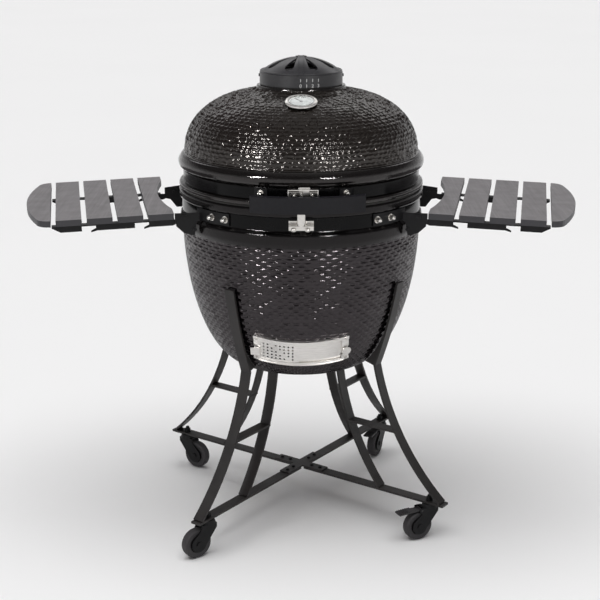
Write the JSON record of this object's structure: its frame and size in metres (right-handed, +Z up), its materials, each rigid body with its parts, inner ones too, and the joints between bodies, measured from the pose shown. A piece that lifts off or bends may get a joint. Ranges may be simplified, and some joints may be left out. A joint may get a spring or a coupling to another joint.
{
  "type": "kamado grill",
  "caption": "Dark ceramic kamado charcoal grill with steel bands, folding slatted side shelves, a draft door, a vented chimney cap and a wheeled steel stand.",
  "frame": {"origin": "floor level under the centre of the bowl", "axes": "+Z up, -Y towards the handle and the draft door, +X to the right seen from the front"},
  "size_m": [1.5128, 0.7952, 1.2725],
  "materials": {
    "glazed_ceramic": "dark dimpled glaze",
    "fire_clay": "matte unglazed fire clay",
    "felt": "matte felt gasket",
    "black_steel": "satin powder coat",
    "stand_steel": "satin powder coat, brown black",
    "stainless": "brushed",
    "grid_steel": "polished rod",
    "cast_iron": "matte",
    "bamboo": "grey stained slats",
    "grip": "charcoal stained grip",
    "dial": "matte",
    "needle": "gloss",
    "lens": "clear",
    "tyre": "matte",
    "hub": "matte",
    "pad": "matte"
  },
  "bodies": {
    "base": {"ceramic_base": "glazed_ceramic", "base_gasket": "felt", "base_band": "black_steel", "base_band_bolts": "stainless", "fire_box": "fire_clay", "fire_ring": "fire_clay", "charcoal_grate": "cast_iron", "cooking_grid": "grid_steel", "draft_frame": "stainless", "draft_frame_screws": "stainless", "leg_front_left": "stand_steel", "leg_front_right": "stand_steel", "leg_rear_left": "stand_steel", "leg_rear_right": "stand_steel", "leg_pads": "pad", "cross_plate": "stand_steel", "stand_bolts": "black_steel", "hinge_base_bracket": "black_steel", "hinge_pin": "stainless", "hinge_springs": "stainless", "latch_post": "stainless", "shelf_brackets_left": "black_steel", "shelf_brackets_right": "black_steel"},
    "lid": {"ceramic_lid": "glazed_ceramic", "lid_gasket": "felt", "lid_band": "black_steel", "lid_band_bolts": "stainless", "handle_grip": "grip", "handle_brackets": "black_steel", "latch_keeper": "stainless", "hinge_lid_bracket": "black_steel", "chimney_gasket": "felt", "chimney_ring": "black_steel", "chimney_ring_screws": "black_steel", "thermometer_case": "stainless", "thermometer_dial": "dial", "thermometer_lens": "lens"},
    "damper": {"damper_cap": "black_steel"},
    "needle": {"thermometer_needle": "needle"},
    "latch": {"latch_lever": "stainless"},
    "screen": {"draft_screen": "stainless"},
    "door": {"draft_door": "stainless"},
    "shelf_left": {"shelf_left_slats": "bamboo", "shelf_left_rails": "black_steel"},
    "shelf_right": {"shelf_right_slats": "bamboo", "shelf_right_rails": "black_steel"},
    "swivel_front_left": {"caster_fork_front_left": "black_steel"},
    "wheel_front_left": {"caster_wheel_front_left": "hub", "caster_tyre_front_left": "tyre"},
    "swivel_front_right": {"caster_fork_front_right": "black_steel"},
    "wheel_front_right": {"caster_wheel_front_right": "hub", "caster_tyre_front_right": "tyre"},
    "swivel_rear_left": {"caster_fork_rear_left": "black_steel"},
    "wheel_rear_left": {"caster_wheel_rear_left": "hub", "caster_tyre_rear_left": "tyre"},
    "swivel_rear_right": {"caster_fork_rear_right": "black_steel"},
    "wheel_rear_right": {"caster_wheel_rear_right": "hub", "caster_tyre_rear_right": "tyre"},
    "pedal_front_right": {"brake_pedal_front_right": "black_steel"},
    "pedal_rear_right": {"brake_pedal_rear_right": "black_steel"}
  },
  "joints": [
    {"name": "lid_hinge", "type": "hinge", "parent": "base", "child": "lid", "pos_m": [0, 0.35, 0.913], "axis": [-1, 0, 0], "range_deg": [0, 68]},
    {"name": "damper_turn", "type": "hinge", "parent": "lid", "child": "damper", "pos_m": [0, 0, 1.25], "axis": [0, 0, 1], "range_deg": [0, 22.5]},
    {"name": "needle_turn", "type": "hinge", "parent": "lid", "child": "needle", "pos_m": [0, -0.187, 1.167], "axis": [0, -0.2756, 0.9613], "range_deg": [-240, 0]},
    {"name": "latch_turn", "type": "hinge", "parent": "lid", "child": "latch", "pos_m": [0.0075, -0.332, 0.97], "axis": [1, 0, 0], "range_deg": [0, 10], "stiffness_Nm_per_rad": 1},
    {"name": "screen_slide", "type": "hinge", "parent": "base", "child": "screen", "pos_m": [0, 0, 0.658], "axis": [0, -0.4462, 0.8949], "range_deg": [0, 8]},
    {"name": "door_slide", "type": "hinge", "parent": "base", "child": "door", "pos_m": [0, 0, 0.658], "axis": [0, -0.4462, 0.8949], "range_deg": [-16, 0]},
    {"name": "shelf_left_fold", "type": "hinge", "parent": "base", "child": "shelf_left", "pos_m": [-0.32948, -0.03792, 0.8773], "axis": [0.1736, -0.9848, 0], "range_deg": [0, 75]},
    {"name": "shelf_right_fold", "type": "hinge", "parent": "base", "child": "shelf_right", "pos_m": [0.32948, -0.03792, 0.8773], "axis": [0.1736, 0.9848, 0], "range_deg": [0, 75]},
    {"name": "swivel_turn_front_left", "type": "hinge", "parent": "base", "child": "swivel_front_left", "pos_m": [-0.24677, -0.34724, 0.095], "axis": [0, 0, 1], "continuous": true},
    {"name": "wheel_spin_front_left", "type": "hinge", "parent": "swivel_front_left", "child": "wheel_front_left", "pos_m": [-0.2759, -0.3684, 0.04], "axis": [0.5878, -0.809, 0], "continuous": true},
    {"name": "swivel_turn_front_right", "type": "hinge", "parent": "base", "child": "swivel_front_right", "pos_m": [0.34724, -0.24677, 0.095], "axis": [0, 0, 1], "continuous": true},
    {"name": "wheel_spin_front_right", "type": "hinge", "parent": "swivel_front_right", "child": "wheel_front_right", "pos_m": [0.31462, -0.26199, 0.04], "axis": [0.4226, -0.9063, 0], "continuous": true},
    {"name": "swivel_turn_rear_left", "type": "hinge", "parent": "base", "child": "swivel_rear_left", "pos_m": [-0.34724, 0.24677, 0.095], "axis": [0, 0, 1], "continuous": true},
    {"name": "wheel_spin_rear_left", "type": "hinge", "parent": "swivel_rear_left", "child": "wheel_rear_left", "pos_m": [-0.3174, 0.22664, 0.04], "axis": [0.5592, 0.829, 0], "continuous": true},
    {"name": "swivel_turn_rear_right", "type": "hinge", "parent": "base", "child": "swivel_rear_right", "pos_m": [0.24677, 0.34724, 0.095], "axis": [0, 0, 1], "continuous": true},
    {"name": "wheel_spin_rear_right", "type": "hinge", "parent": "swivel_rear_right", "child": "wheel_rear_right", "pos_m": [0.23156, 0.31462, 0.04], "axis": [0.9063, -0.4226, 0], "continuous": true},
    {"name": "brake_front_right", "type": "hinge", "parent": "swivel_front_right", "child": "pedal_front_right", "pos_m": [0.32005, -0.25945, 0.0855], "axis": [0.4226, -0.9063, 0], "range_deg": [0, 10]},
    {"name": "brake_rear_right", "type": "hinge", "parent": "swivel_rear_right", "child": "pedal_rear_right", "pos_m": [0.23409, 0.32005, 0.0855], "axis": [0.9063, -0.4226, 0], "range_deg": [0, 10]}
  ]
}
